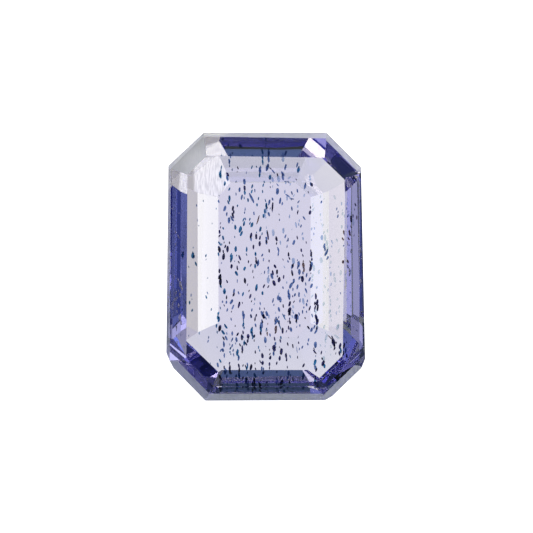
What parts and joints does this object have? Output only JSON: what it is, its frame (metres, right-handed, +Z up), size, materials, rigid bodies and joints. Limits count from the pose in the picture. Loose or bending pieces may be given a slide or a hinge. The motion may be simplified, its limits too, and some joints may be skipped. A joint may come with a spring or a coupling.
{
  "type": "iolite gemstone",
  "caption": "Loose step-cut octagonal gemstone with a wide flat table and a flat culet that it rests on.",
  "frame": {"origin": "on the surface the stone rests on, under the middle of its outline seen from above", "axes": "+X across the stone, +Y along it, +Z up through the table"},
  "size_m": [0.0082, 0.0112, 0.0031],
  "materials": {
    "iolite": "polished clear stone, pale violet-blue where thin and deep blue where the light's way through it is long, with an unpolished grey girdle row",
    "inclusions": "thin opaque mineral platelets, near black, dark blue, teal and brown"
  },
  "bodies": {
    "root": {"iolite_stone": "iolite"}
  },
  "joints": []
}
